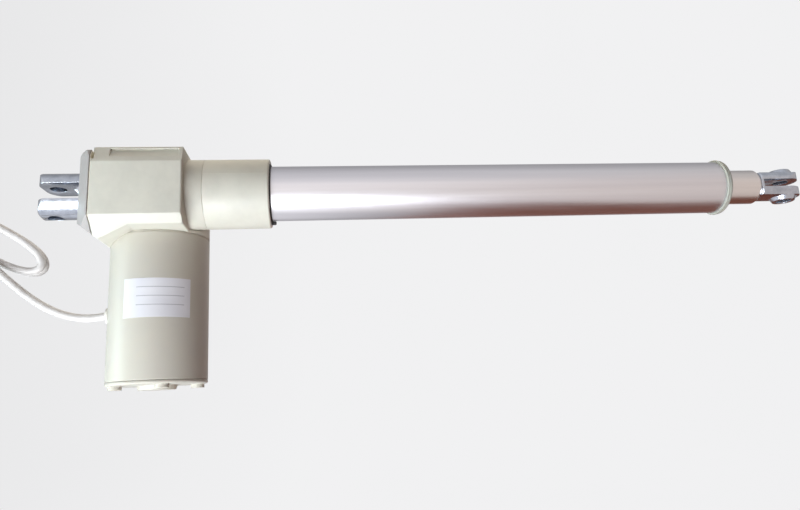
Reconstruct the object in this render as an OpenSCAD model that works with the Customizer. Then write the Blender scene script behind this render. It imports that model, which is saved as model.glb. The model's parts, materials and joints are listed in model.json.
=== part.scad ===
// Linear actuator for a reclining chair or care bed: a worm-gear motor turns a
// trapezoidal spindle, and a nut on the spindle pushes a rod out of a round tube.
// Millimetres. Origin: centre of the rear pin hole. +X runs along the rod towards
// the front clevis, +Z is up, and the motor hangs down. Drawn fully retracted.

/* [Rod and tube] */
// Distance between the two pin holes, fully retracted
pin_to_pin = 497.5; // [497.5:0.5:510]
// Travel of the rod
stroke = 300; // [250:10:300]
// Outside diameter of the outer tube
tube_d = 36; // [36:0.5:37]
// Wall of the outer tube
tube_wall = 2; // [1.8:0.1:2]
// Diameter of the pushing rod
rod_d = 24; // [23.5:0.5:24]
// Outside diameter of the sleeve behind the tube
sleeve_d = 45.4; // [44:0.2:46]

/* [Spindle drive] */
// Outside diameter of the spindle thread
thread_d = 14; // [13:0.5:14]
// Advance of the nut per spindle turn
lead = 6; // [4:1:8]
// Teeth on the worm wheel
wheel_teeth = 24; // [24]
// Module of the worm and its wheel
gear_module = 1.25; // [1.25]
// Pitch radius of the worm
worm_pitch_r = 5; // [5:0.05:5.1]
// Play between the worm thread and a tooth gap, on each side
backlash = 0.12; // [0.1:0.02:0.2]

/* [Motor] */
// Outside diameter of the motor cover
cover_d = 62; // [61.5:0.5:62]
// Height of the seam above the cover's base
seam_z = -117.6; // [-120:0.2:-117.6]
// Place of the motor axis along the tube
motor_x = 59.5; // [59.4:0.1:60]

/* [Clevises] */
// Diameter of the rear mounting bar
rear_bar_d = 29.6; // [28:0.2:30]
// Slot in the rear bar
rear_slot = 10; // [8:0.1:10]
// Pin holes in both clevises
pin_d = 10.1; // [8:0.1:10.1]
// Slot in the front clevis
front_slot = 5.4; // [5:0.1:6.4]

/* [Power cable] */
// Diameter of the power cable
cable_d = 5; // [4:0.5:5]
// Length of the coiled hank, half of it
hank_half = 46; // [40:1:60]

/* [Hidden] */

$fn = 64;
hair = 0.05;                          // running gap, per side
tube_r = tube_d / 2;
tube_bore_r = tube_r - tube_wall;
rod_r = rod_d / 2;
rod_bore_r = rod_r - 2.5;
sleeve_r = sleeve_d / 2;
bar_r = rear_bar_d / 2;
cover_r = cover_d / 2;
cover_bore_r = cover_r - 2.2;
wheel_pitch_r = gear_module * wheel_teeth / 2;
worm_pitch = PI * gear_module;        // axial, single start
motor_y = wheel_pitch_r + worm_pitch_r;

// Stations along X
rear_x = -9;                          // tip of the rear bar
cover_x = 18;                         // rear face of the rear cover
joint_x = 28.2;                       // cover meets the gear housing
gasket_t = 0.6;
gasket_inset = 0.7;                   // the gasket's edge lies in a groove
block_x = 82;                         // front end of the housing block
neck_x = 92.8;                        // housing neck meets the collar
sleeve_x = 133.7;                     // front end of the collar
screw_x = 40;                         // tips of the cover screws
cover_screw_r = 1.75;
tube_x = 86;                          // rear end of the outer tube
tube_end_x = pin_to_pin - 52.9;
cap_x = tube_end_x + 4.2;             // front face of the cap
clevis_tip_r = 10.8;                  // round tip of the front clevis, about its pin
front_tip_x = pin_to_pin + clevis_tip_r;
rod_front_x = pin_to_pin - 21.7;      // front end of the rod's tube
nut_x = 97;                           // rear face of the nut, retracted
nut_socket_x = 112;
nut_front_x = 124;
rod_rear_x = nut_socket_x + 0.2;
spindle_end_x = nut_front_x + stroke + 4;
bush_x = spindle_end_x + 4;
bush_end_x = tube_end_x - 1.6;
bar_flange_x = 24;
bar_end_x = 42;
wiper_w = 3.4;

// Housing outline, seen along the tube
front_y = -28;
back_y = 34;
bottom_z = -25;
belt_low = -20;                       // bottom of the flat belt round the sides
// Upper sides: [top of the flat belt, lean towards the middle, top]
housing_sides = [13.5, 4.4, 24.4];
cover_sides = [17.5, 2.6, 22];
rear_bevel = [9, 12];                 // rear corners, seen from above: along X, along Y
web_x = [30.5, 50];                   // lowest point and end of the web behind the motor
web_z = -32;
gasket_low_z = -29.4;                 // underside of the sloping web at the gasket
block_bore_r = 18.5;
gear_space_r = 20;
wheel_x0 = 48;
wheel_w = 12;

// Bearings: [start, width, outer radius, inner radius]
rear_brg = [31, 10, 16, 6];
front_brg = [71, 9, 16, 7.5];
worm_brg = [16, 5, 7, 2.5];

// Motor heights
can_r = 26.5;
can_bore_r = 25;
can_bottom_z = -112;
core_r = 20.3;
core_z = [-92, -44];
shaft_r = 4;
worm_half = 13;
cable_z = -74.4;
brush_z = -103.5;
lead_z = brush_z - 0.4;

// ---------- helpers ----------

function unit(v) = v / norm(v);
function turn_between(u, v) = atan2(u[0] * v[1] - u[1] * v[0], u * v);

// One outline corner b, between a and c, rounded to radius r
function corner(a, b, c, r, steps = 6) =
    r == 0 ? [b] :
    let (u = unit(a - b), v = unit(c - b),
        half = acos(u * v) / 2,
        centre = b + unit(u + v) * r / sin(half),
        start = b + u * r / tan(half) - centre,
        stop = b + v * r / tan(half) - centre,
        sweep = turn_between(start, stop),
        a0 = atan2(start[1], start[0]))
    [for (i = [0:steps]) centre + r * [cos(a0 + sweep * i / steps), sin(a0 + sweep * i / steps)]];

// Outline from [x, y, corner radius] rows
function rounded(rows) = let (n = len(rows))
    [for (i = [0:n - 1])
        let (p = rows[(i + n - 1) % n], q = rows[i], s = rows[(i + 1) % n])
        each corner([p[0], p[1]], [q[0], q[1]], [s[0], s[1]], q[2])];

// Points of a ring of radius r about point c, square to direction d
function ring_at(c, d, r, sides) =
    let (side = unit(cross(d, [0, 1, 0])), up = cross(side, d))
    [for (k = [0:sides - 1]) c + r * (cos(360 * k / sides) * side + sin(360 * k / sides) * up)];

module along_x(x = 0) { translate([x, 0, 0]) rotate([90, 0, 90]) children(); }
module at_motor(z = 0) { translate([motor_x, motor_y, z]) children(); }
module rod_x(x0, x1, r) { along_x(x0) cylinder(h = x1 - x0, r = r); }
module rod_z(z0, z1, r) { translate([0, 0, z0]) cylinder(h = z1 - z0, r = r); }
module block(lo, hi) { translate(lo) cube(hi - lo); }

module tube_along_x(x0, x1, r_out, r_in) {
    difference() {
        rod_x(x0, x1, r_out);
        rod_x(x0 - 1, x1 + 1, r_in);
    }
}

module tube_along_z(z0, z1, r_out, r_in) {
    difference() {
        rod_z(z0, z1, r_out);
        rod_z(z0 - 1, z1 + 1, r_in);
    }
}

// Solid of revolution about X, from [x, r] points
module turned(points) {
    rotate([0, 90, 0]) rotate_extrude() polygon([for (p = points) [p[1], p[0]]]);
}

// Round wire through the points, with ball corners
module wire(points, r) {
    for (i = [0:len(points) - 2]) {
        span = points[i + 1] - points[i];
        translate(points[i]) {
            rotate([0, acos(span[2] / norm(span)), atan2(span[1], span[0])])
                cylinder(h = norm(span), r = r, $fn = 24);
            if (i > 0) sphere(r = r, $fn = 24);
        }
    }
}

// Round tube swept along a path
module sweep(path, r, sides = 16) {
    n = len(path);
    rings = [for (i = [0:n - 1])
        ring_at(path[i], unit(path[min(i + 1, n - 1)] - path[max(i - 1, 0)]), r, sides)];
    faces = [
        [for (k = [0:sides - 1]) k],
        for (i = [0:n - 2]) for (k = [0:sides - 1]) let (m = (k + 1) % sides)
            [i * sides + k, (i + 1) * sides + k, (i + 1) * sides + m, i * sides + m],
        [for (k = [sides - 1:-1:0]) (n - 1) * sides + k]];
    polyhedron(points = [for (ring = rings) each ring], faces = faces, convexity = 10);
}

// ---------- ball bearings ----------

function race_r(b) = (b[2] + b[3]) / 2;
function ball_r(b) = (b[2] - b[3]) * 0.24;

module race_groove(b) {
    translate([0, 0, b[1] / 2]) rotate_extrude()
        translate([race_r(b), 0]) circle(r = ball_r(b) + 0.02, $fn = 32);
}

module bearing_outer(b) {
    difference() {
        tube_along_z(0, b[1], b[2], race_r(b) + ball_r(b) * 0.55);
        race_groove(b);
    }
}

module bearing_inner(b) {
    difference() {
        tube_along_z(0, b[1], race_r(b) - ball_r(b) * 0.55, b[3]);
        race_groove(b);
    }
}

module bearing_balls(b, count) {
    for (i = [0:count - 1]) rotate([0, 0, 360 * i / count])
        translate([race_r(b), 0, b[1] / 2]) sphere(r = ball_r(b), $fn = 32);
}

module rear_bearing_outer() { color("silver") along_x(rear_brg[0]) bearing_outer(rear_brg); }
module rear_bearing_inner() { color("silver") along_x(rear_brg[0]) bearing_inner(rear_brg); }
module rear_bearing_balls() { color("gainsboro") along_x(rear_brg[0]) bearing_balls(rear_brg, 9); }
module front_bearing_outer() { color("silver") along_x(front_brg[0]) bearing_outer(front_brg); }
module front_bearing_inner() { color("silver") along_x(front_brg[0]) bearing_inner(front_brg); }
module front_bearing_balls() { color("gainsboro") along_x(front_brg[0]) bearing_balls(front_brg, 10); }
module worm_bearing_outer() { color("silver") at_motor(worm_brg[0]) bearing_outer(worm_brg); }
module worm_bearing_inner() { color("silver") at_motor(worm_brg[0]) bearing_inner(worm_brg); }
module worm_bearing_balls() { color("gainsboro") at_motor(worm_brg[0]) bearing_balls(worm_brg, 7); }

// ---------- gear housing and rear cover ----------

// Outline across the tube: flat belt, upper sides leaning in, lower edges bevelled
module across_outline(sides) {
    low = belt_low - web_z;
    polygon(rounded([
        [front_y, sides[0], 1.5], [front_y + sides[1], sides[2], 1.2],
        [back_y - sides[1], sides[2], 1.2], [back_y, sides[0], 1.5], [back_y, belt_low, 1.5],
        [back_y - low, web_z, 1], [front_y + low, web_z, 1], [front_y, belt_low, 1.5]]));
}

// Outline from above: bevelled rear corners, sharp front corners
module plan_outline() {
    polygon(rounded([
        [cover_x, front_y + rear_bevel[1], 2], [cover_x + rear_bevel[0], front_y, 1],
        [block_x, front_y, 1.2], [block_x, back_y, 1.2],
        [cover_x + rear_bevel[0], back_y, 1], [cover_x, back_y - rear_bevel[1], 2]]));
}

// Outline from the side, with a web that slopes down to the motor
module side_outline(top) {
    polygon(rounded([
        [cover_x, -22.3, 3], [cover_x, top, 3], [block_x, top, 1],
        [block_x, bottom_z, 1], [web_x[1], bottom_z, 0], [web_x[0], web_z, 1]]));
}

module housing_block(x0, x1, sides) {
    difference() {
        intersection() {
            along_x(x0) linear_extrude(x1 - x0) across_outline(sides);
            translate([0, 0, -60]) linear_extrude(120) plan_outline();
            translate([0, 100, 0]) rotate([90, 0, 0]) linear_extrude(200) side_outline(sides[2]);
        }
        at_motor() rod_z(web_z - 1, bottom_z, cover_r + 0.1);
    }
}

function cover_screw_places() = [for (y = [-13.2, 13.2], z = [-16.8, 16.8]) [y, z]];

module at_cover_screws() {
    for (p = cover_screw_places()) translate([0, p[0], p[1]]) children();
}

module rear_clevis() {
    color("lightsteelblue") difference() {
        union() {
            intersection() {
                turned([[rear_x, 0], [rear_x, bar_r - 1.2], [rear_x + 1.2, bar_r],
                    [bar_flange_x + 1, bar_r], [bar_flange_x + 1, 0]]);
                translate([0, 0, -20]) linear_extrude(40)
                    polygon(rounded([[rear_x, -bar_r, 10], [rear_x, bar_r, 10],
                        [bar_flange_x + 2, bar_r, 0], [bar_flange_x + 2, -bar_r, 0]]));
            }
            rod_x(bar_flange_x, bar_end_x, block_bore_r - hair);
        }
        block([rear_x - 1, -20, -rear_slot / 2], [cover_x - 3, 20, rear_slot / 2]);
        translate([cover_x - 3, 0, 0]) intersection() {
            cylinder(h = rear_slot, r = bar_r, center = true);
            block([-1, -20, -5], [2.5, 20, 5]);
        }
        rod_z(-20, 20, pin_d / 2);
        rod_x(rear_brg[0], bar_end_x + 1, rear_brg[2]);
        rod_x(rear_brg[0] - 3, rear_brg[0] + 1, 10);
        dowel_hole();
    }
}

dowel_x = [20.5, 30];
dowel_z = 16.7;
dowel_r = 1.2;

module dowel_hole() {
    translate([0, 0, dowel_z]) rod_x(dowel_x[0] - 0.2, dowel_x[1] + 0.2, dowel_r + 0.02);
}

module clevis_dowel() {
    color("silver") translate([0, 0, dowel_z]) rod_x(dowel_x[0], dowel_x[1], dowel_r);
}

module rear_cover() {
    color("lightgray") difference() {
        housing_block(cover_x, joint_x - gasket_t, cover_sides);
        rod_x(cover_x - 1, bar_flange_x + 1, bar_r + 0.1);
        rod_x(bar_flange_x, joint_x + 1, block_bore_r);
        dowel_hole();
        at_cover_screws() {
            rod_x(cover_x - 1, joint_x, cover_screw_r + 0.2);
            rod_x(cover_x - 1, cover_x + 4, cover_screw_r + 1.4);
        }
    }
}

// Slice of the cover's outline, shrunk evenly
module gasket_sheet() {
    low = belt_low - web_z;
    g = gasket_inset;
    along_x(joint_x - gasket_t) linear_extrude(gasket_t) polygon(rounded([
        [front_y + g, cover_sides[0], 1], [front_y + cover_sides[1] + g, cover_sides[2] - g, 1],
        [back_y - cover_sides[1] - g, cover_sides[2] - g, 1], [back_y - g, cover_sides[0], 1],
        [back_y - g, belt_low, 1], [back_y - low, gasket_low_z + g, 1],
        [front_y + low, gasket_low_z + g, 1], [front_y + g, belt_low, 1]]));
}

module cover_gasket() {
    color("linen") difference() {
        gasket_sheet();
        rod_x(joint_x - 2, joint_x + 1, block_bore_r);
        at_cover_screws() rod_x(joint_x - 2, joint_x + 1, cover_screw_r + 0.2);
    }
}

module cover_screws() {
    color("silver") at_cover_screws() difference() {
        union() {
            rod_x(cover_x + 4, screw_x, cover_screw_r);
            rod_x(cover_x + 1.6, cover_x + 4, cover_screw_r + 1.2);
        }
        along_x(cover_x + 1) cylinder(h = 2.2, r = 1.5, $fn = 6);
    }
}

module gear_housing() {
    color("oldlace") difference() {
        union() {
            housing_block(joint_x, block_x, housing_sides);
            rod_x(block_x - 1, neck_x, sleeve_r);
            motor_flange();
        }
        top_recess();
        pry_slot();
        rod_x(joint_x - 1, front_brg[0], block_bore_r);
        rod_x(wheel_x0 + 4, front_brg[0], gear_space_r);
        rod_x(front_brg[0] - 1, front_brg[0] + front_brg[1], front_brg[2]);
        rod_x(front_brg[0], tube_x + 0.01, 13.5);
        rod_x(tube_x - 0.1, neck_x + 1, tube_r + 0.02);
        at_motor() {
            rod_z(bottom_z - 5, worm_brg[0], 8.5);
            rod_z(0, worm_brg[0] + worm_brg[1], worm_brg[2]);
            rod_z(bottom_z - 0.01, bottom_z + 3, 12.1);
        }
        wire_ways();
        at_cover_screws() rod_x(joint_x - 1, screw_x + 1.5, cover_screw_r + 0.03);
        for (p = motor_screw_places()) translate([motor_x + p[0], motor_y + p[1], 0])
            rod_z(bottom_z - 1, bottom_z + 8.5, 1.98);
    }
}

// Shallow recess under the top edge of the front, leaning in more than the side does
module top_recess() {
    recess_x = [38.5, block_x - 2.5];
    recess_z = [17.4, 22.9];
    recess_y = [front_y + 1.9, front_y + 5.5];
    along_x(recess_x[0]) linear_extrude(recess_x[1] - recess_x[0])
        polygon([[front_y - 1, recess_z[0]], [recess_y[0], recess_z[0]],
            [recess_y[1], recess_z[1]], [front_y - 1, recess_z[1]]]);
}

// Notch beside the rear cover, for prising it off
module pry_slot() {
    block([joint_x - 1, front_y - 1, 15.6], [joint_x + 1.5, front_y + 5.5, housing_sides[2] + 1]);
}

// Ways for the wires: forward under the front bearing, up behind the tube, and down to the motor
module wire_ways() {
    way_r = 1.2;
    riser_x = tube_x - 4;
    riser_top_z = wire_rise_z + 1.1;
    riser_half = 2;
    translate([0, 0, wire_z]) rod_x(wire_drop[0] + 2, tube_x - 2.5, way_r);
    block([riser_x, -riser_half, wire_z - 1.6], [tube_x - 1, riser_half, riser_top_z]);
    block([riser_x, -riser_half, wire_rise_z - 1.4], [tube_x + 0.01, riser_half, riser_top_z]);
    translate(wire_drop) rod_z(bottom_z - 1, wire_z + 0.9, way_r + 0.1);
}

function motor_screw_places() = [for (a = [30, 150]) 18 * [cos(a), sin(a)]];

// Round seat above the motor cover, clear of the rear cover and of the collar
module motor_flange() {
    seat_top_z = -15.5;
    difference() {
        at_motor() rod_z(bottom_z, seat_top_z, cover_r);
        block([0, -60, -60], [joint_x, 60, 0]);
        rod_x(block_x - 4, 130, sleeve_r + 0.5);
    }
}

// ---------- tube, collar and front end ----------

module tube_collar() {
    color("oldlace") difference() {
        turned([[neck_x, 0], [neck_x, sleeve_r - 0.3], [neck_x + 0.3, sleeve_r],
            [sleeve_x - 1, sleeve_r], [sleeve_x, sleeve_r - 1], [sleeve_x, 0]]);
        rod_x(neck_x - 1, sleeve_x + 1, tube_r + 0.02);
        rod_x(sleeve_x - 5, sleeve_x + 1, tube_r + 2.2);
    }
}

module tube_seal() {
    color("dimgray") difference() {
        turned([[sleeve_x - 4.8, 0], [sleeve_x - 4.8, tube_r + 2.1], [sleeve_x - 0.6, tube_r + 2.1],
            [sleeve_x + 0.8, tube_r + 0.8], [sleeve_x + 0.8, 0]]);
        rod_x(sleeve_x - 6, sleeve_x + 2, tube_r + 0.02);
    }
    // Tab for pulling the seal out
    color("dimgray") rotate([12, 0, 0]) translate([0, 0, -tube_r - 1.35])
        rod_x(sleeve_x + 0.02, sleeve_x + 3, 1.25);
}

// The two ribs inside the tube stop the nut from turning
module tube_ribs(y_in, half, x0, x1) {
    for (s = [-1, 1]) translate([0, s * (y_in + tube_r) / 2, 0])
        block([x0, -(tube_r - y_in) / 2, -half], [x1, (tube_r - y_in) / 2, half]);
}

module outer_tube() {
    color("gainsboro") {
        tube_along_x(tube_x + 0.1, tube_end_x, tube_r, tube_bore_r);
        intersection() {
            tube_along_x(tube_x + 0.1, tube_end_x, tube_r - 0.5, tube_bore_r - 1.1);
            tube_ribs(tube_bore_r - 1.2, 1.2, tube_x + 0.1, tube_end_x);
        }
    }
}

module front_cap() {
    lip_r = tube_r + 1.4;
    color("silver") difference() {
        union() {
            turned([[tube_end_x, 0], [tube_end_x, lip_r - 0.3], [tube_end_x + 0.3, lip_r],
                [tube_end_x + 1, lip_r], [tube_end_x + 1.2, lip_r - 0.25],
                for (a = [0:15:90]) [cap_x - 2.2 + 2.2 * sin(a), lip_r - 2.5 + 2.2 * cos(a)],
                [cap_x, 0]]);
            rod_x(bush_x, tube_end_x + 0.5, tube_bore_r - hair);
        }
        rod_x(bush_x - 1, bush_end_x, rod_r + 2);
        rod_x(bush_end_x - 1, cap_x + 1, rod_r + 0.15);
        rod_x(cap_x - wiper_w, cap_x + 1, rod_r + 2.4);
        tube_ribs(tube_bore_r - 1.3, 1.4, bush_x - 1, tube_end_x);
    }
}

module guide_bush() {
    color("ivory") tube_along_x(bush_x, bush_end_x, rod_r + 2, rod_r + hair);
}

module rod_wiper() {
    color("dimgray") difference() {
        turned([[cap_x - wiper_w, 0], [cap_x - wiper_w, rod_r + 2.4], [cap_x - 0.4, rod_r + 2.4],
            [cap_x + 0.6, rod_r + 1], [cap_x + 0.6, 0]]);
        rod_x(cap_x - wiper_w - 1, cap_x + 2, rod_r + hair);
    }
}

// ---------- limit switches ----------

strip_z = [-15.6, -14.6];
wire_z = -17.9;                       // lane of the wires under the front bearing
wire_rise_z = -14.1;                  // height at which they enter the tube
wire_drop = [66, -6.8, 0];            // where the wires turn down to the motor
switch_z = -13.45;
plunger_r = 0.7;
plunger_gap = 0.2;

module limit_strip() {
    color("darkgreen") block([tube_x + 2, -3, strip_z[0]], [bush_x - 0.1, 3, strip_z[1]]);
}

module switch_case(x0, x1) {
    block([x0, -2.9, strip_z[1]], [x1, 2.9, -12.35]);
}

module retract_switch() {
    color("black") difference() {
        switch_case(tube_x + 3, nut_x - 3);
        translate([0, 0, switch_z]) rod_x(nut_x - 7, nut_x, plunger_r + 0.04);
    }
}

module extend_switch() {
    color("black") difference() {
        switch_case(spindle_end_x - 1, bush_x - 0.1);
        translate([0, 0, switch_z]) rod_x(spindle_end_x - 2, spindle_end_x + 2.8, plunger_r + 0.04);
    }
}

module retract_plunger() {
    color("red") translate([0, 0, switch_z]) rod_x(nut_x - 5.5, nut_x - plunger_gap, plunger_r);
}

module extend_plunger() {
    color("red") translate([0, 0, switch_z])
        rod_x(nut_front_x + stroke + plunger_gap, spindle_end_x + 1.4, plunger_r);
}

module switch_wires() {
    to_brush = unit([wire_drop[0] - motor_x, wire_drop[1] - motor_y, 0]);
    wire_r = 0.6;
    color("firebrick") wire([[tube_x + 1.9, 0, wire_rise_z], [tube_x - 2.4, 0, wire_rise_z],
        [tube_x - 2.4, 0, wire_z], wire_drop + [2.5, -wire_drop[1], wire_z], wire_drop + [0, 0, wire_z],
        wire_drop + [0, 0, lead_z], [motor_x, motor_y, lead_z] + (can_r - 2.25) * to_brush], wire_r);
}

// ---------- motor ----------

module motor_cover() {
    color("oldlace") difference() {
        at_motor() {
            tube_along_z(seam_z, bottom_z - 1.2, cover_r, cover_bore_r);
            tube_along_z(bottom_z - 1.3, bottom_z - 0.05, cover_r - 0.5, cover_bore_r);
        }
        translate([motor_x - cover_r - 3, motor_y, cable_z]) rod_x(0, 8, 4);
    }
}

function foot_places() = [for (a = [20, 110, 200, 290]) 25 * [cos(a), sin(a)]];

module at_feet() {
    for (p = foot_places()) at_motor() translate([p[0], p[1], 0]) children();
}

module cover_base() {
    color("oldlace") difference() {
        union() {
            at_motor() rotate_extrude() polygon([[0, seam_z - 0.15], [cover_r - 0.3, seam_z - 0.15],
                [cover_r, seam_z - 0.45], [cover_r, seam_z - 1.6], [cover_r - 0.8, seam_z - 2.4],
                [12.5, seam_z - 2.4], [11.5, seam_z - 5.4], [0, seam_z - 5.4]]);
            at_motor() tube_along_z(seam_z - 1, seam_z + 3.4, cover_bore_r - hair, cover_bore_r - 1.8);
            at_feet() rod_z(seam_z - 4.9, seam_z - 2, 4.2);
        }
        at_motor() rod_z(seam_z - 3.4, seam_z + 1, 9.5);
        at_feet() {
            rod_z(seam_z - 6, seam_z + 1, 1.75);
            rod_z(seam_z - 6, seam_z - 2.2, 2.9);
        }
    }
}

module base_screws() {
    color("silver") at_feet() difference() {
        union() {
            rod_z(seam_z - 2.2, can_bottom_z + 2, 1.7);
            rod_z(seam_z - 3.6, seam_z - 2.2, 2.8);
        }
        translate([0, 0, seam_z - 4]) cylinder(h = 1.2, r = 1.3, $fn = 6);
    }
}

module motor_can() {
    color("silver") difference() {
        union() {
            at_motor() rod_z(can_bottom_z, bottom_z - 5, can_r);
            at_motor() rod_z(can_bottom_z - 2.5, can_bottom_z, 8.5);
        }
        at_motor() rod_z(can_bottom_z + 2, bottom_z, can_bore_r);
        at_motor() rod_z(can_bottom_z - 2, can_bottom_z + 3, 6.5);
        at_feet() rod_z(can_bottom_z - 1, can_bottom_z + 3, 1.72);
        translate(wire_drop + [0, -2, lead_z]) rotate([-90, 0, 0]) cylinder(h = 6, r = 1.4);
        translate([motor_x - can_r, motor_y, lead_z]) rod_x(-2, 3, 1.2);
    }
}

module motor_end_plate() {
    color("silver") difference() {
        at_motor() {
            rod_z(bottom_z - 5, bottom_z - 0.05, can_r);
            rod_z(bottom_z - 9, bottom_z - 5, 8);
            rod_z(bottom_z - 0.1, bottom_z + 2.9, 12);
        }
        at_motor() rod_z(bottom_z - 10, bottom_z - 1, 6.5);
        at_motor() rod_z(bottom_z - 10, bottom_z + 4, 5);
        for (p = motor_screw_places()) translate([motor_x + p[0], motor_y + p[1], 0]) {
            rod_z(bottom_z - 6, bottom_z + 1, 2.1);
            rod_z(bottom_z - 6, bottom_z - 2.5, 3.6);
        }
    }
}

module motor_screws() {
    color("silver") for (p = motor_screw_places())
        translate([motor_x + p[0], motor_y + p[1], 0]) difference() {
            union() {
                rod_z(bottom_z - 2.5, bottom_z + 8, 1.95);
                rod_z(bottom_z - 5, bottom_z - 2.5, 3.5);
            }
            translate([0, 0, bottom_z - 5.5]) cylinder(h = 2, r = 1.6, $fn = 6);
        }
}

module motor_magnets() {
    color("dimgray") at_motor() difference() {
        tube_along_z(core_z[0], core_z[1], can_bore_r - 0.05, core_r + 0.6);
        for (a = [90, 270]) rotate([0, 0, a]) translate([0, -7, core_z[0] - 1])
            cube([40, 14, core_z[1] - core_z[0] + 2]);
    }
}

module motor_bushes() {
    color("peru") at_motor() {
        tube_along_z(can_bottom_z - 1.95, can_bottom_z + 4, 6.45, shaft_r + hair);
        tube_along_z(bottom_z - 9, bottom_z - 1.1, 6.45, shaft_r + hair);
    }
}

module at_brushes() {
    at_motor(brush_z) for (a = [0, 180]) rotate([0, 0, a]) children();
}

module brush_holder() {
    color("saddlebrown") difference() {
        union() {
            at_motor() tube_along_z(brush_z - 3, brush_z - 1.4, can_bore_r - hair, 10.5);
            at_brushes() block([10.5, -4.2, -1.5], [24, 4.2, 6.6]);
        }
        at_brushes() block([10, -3.05, -0.05], [23, 3.05, 5.55]);
    }
}

module brushes() {
    color("dimgray") at_brushes() block([9.15, -3, 0], [16.5, 3, 5.5]);
}

module brush_springs() {
    coil_r = 2;
    color("silver") at_brushes() translate([16.6, 0, 2.75]) rotate([90, 0, 90])
        linear_extrude(6.3, twist = -360 * 4, slices = 48, segments = 8)
            translate([coil_r, 0]) circle(r = 0.35, $fn = 8);
}

module motor_leads() {
    lane = motor_x - can_r - 1.15;
    color("firebrick") wire([[lane, motor_y, cable_z - 2.7], [lane, motor_y, lead_z],
        [lane + 3.6, motor_y, lead_z]], 0.8);
}

module cable_grommet() {
    color("dimgray") translate([motor_x - cover_r, motor_y, cable_z]) difference() {
        union() {
            rod_x(-1.6, 2.4, 3.9);
            rod_x(-1.6, -0.3, 5);
        }
        rod_x(-3, 4, cable_d / 2 + 0.1);
        at_cover_wall();
    }
}

// Keeps the grommet's collar off the round wall of the cover
module at_cover_wall() {
    translate([cover_r, 0, 0]) intersection() {
        tube_along_z(-9, 9, cover_r + 0.02, cover_bore_r - 0.02);
        difference() {
            block([-cover_r - 2, -9, -9], [0, 9, 9]);
            rod_x(-cover_r - 3, 0, 3.98);
        }
    }
}

// ---------- power cable ----------

hank_dir = [-cos(30), 0, sin(30)];    // towards the far end of the hank
hank_low = [-sin(30), 0, -cos(30)];   // towards its lower side
hank_tip = [-17.5, 20, -40];
hank_centre = hank_tip + hank_half * hank_dir;
hank_w = 10;
hank_turns = 2;
hank_step = 5.8;                      // sideways, per turn

function signed_pow(v, e) = sign(v) * pow(abs(v), e);
function hank_point(a) = hank_centre + hank_half * signed_pow(sin(a), 0.55) * hank_dir
    + hank_w * cos(a) * hank_low + [0, hank_step * a / 360, 0];
function bezier(p, t) = pow(1 - t, 3) * p[0] + 3 * t * pow(1 - t, 2) * p[1]
    + 3 * t * t * (1 - t) * p[2] + pow(t, 3) * p[3];

cable_start = [motor_x - cover_r + 2.6, motor_y, cable_z];
sag = [[motor_x - cover_r - 2.5, motor_y, cable_z], [-12, motor_y, -83],
    hank_point(0) - 27 * unit([hank_dir[0], 0, 0.75 * hank_dir[2] + 0.2]), hank_point(0)];
tail_start = hank_point(360 * hank_turns);
tail_end = tail_start + 60 * hank_dir + 8 * hank_low + [0, 2, 0];
tail = [tail_start, tail_start + 20 * hank_dir, tail_end - 20 * hank_dir, tail_end];
plug_at = tail_end + 7 * hank_dir;
cable_path = [cable_start, for (i = [0:24]) bezier(sag, i / 24),
    for (i = [1:hank_turns * 36 - 1]) hank_point(i * 10),
    for (i = [0:8]) bezier(tail, i / 8), plug_at];

module power_cable() {
    color("whitesmoke") sweep(cable_path, cable_d / 2, 16);
}

// Places a child with its X along the hank, at a distance from its centre
module on_hank(s, low = 0, y = 0) {
    translate(hank_centre + s * hank_dir + low * hank_low + [0, y, 0])
        rotate([0, 30, 0]) rotate([0, 0, 180]) children();
}

module strap_outline(grow) {
    half_w = hank_w + cable_d / 2 + 2 + grow;
    y0 = -cable_d / 2 - 0.4 - grow;
    y1 = hank_turns * hank_step + cable_d / 2 + 0.6 + grow;
    polygon(rounded([[y0, -half_w, 2.5], [y1, -half_w, 2.5], [y1, half_w, 2.5], [y0, half_w, 2.5]]));
}

module cable_strap() {
    color("black") on_hank(14) mirror([0, 1, 0]) along_x(-4) difference() {
        linear_extrude(8) strap_outline(0.9);
        translate([0, 0, -1]) linear_extrude(10) strap_outline(0);
    }
}

module at_plug() { translate(plug_at) rotate([0, 30 + 180, 0]) children(); }

module cable_plug() {
    color("dimgray") at_plug() difference() {
        union() {
            rod_x(-5, 9, 4.2);
            block([8, -7, -4.5], [30, 7, 4.5]);
        }
        rod_x(-6, 0.1, cable_d / 2 + 0.1);
        for (y = [-3.3, 3.3]) translate([0, y, 0]) {
            rod_x(22, 31, 1.6);
            rod_x(19.95, 22.1, 1.52);
        }
    }
}

module plug_pins() {
    color("gold") at_plug() for (y = [-3.3, 3.3]) translate([0, y, 0]) {
        rod_x(21.9, 29, 0.9);
        rod_x(20, 22, 1.5);
    }
}

module rating_label() {
    label_r = cover_r + 0.02;
    a = [-118, -41];                  // from the motor axis, 0 is +X
    color("white") at_motor() intersection() {
        tube_along_z(-80.2, -56, label_r + 0.12, label_r);
        rotate([0, 0, (a[0] + a[1]) / 2]) linear_extrude(200, center = true)
            polygon([[0, 0], 60 * [cos((a[0] - a[1]) / 2), sin((a[0] - a[1]) / 2)],
                [90, 0], 60 * [cos((a[1] - a[0]) / 2), sin((a[1] - a[0]) / 2)]]);
    }
}

// ---------- rotor ----------

module motor_shaft() {
    color("silver") at_motor() {
        rod_z(can_bottom_z - 1.5, -worm_half - 3, shaft_r);
        rod_z(-worm_half - 3.1, worm_brg[0] + worm_brg[1] - 0.2, worm_brg[3]);
    }
}

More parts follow.
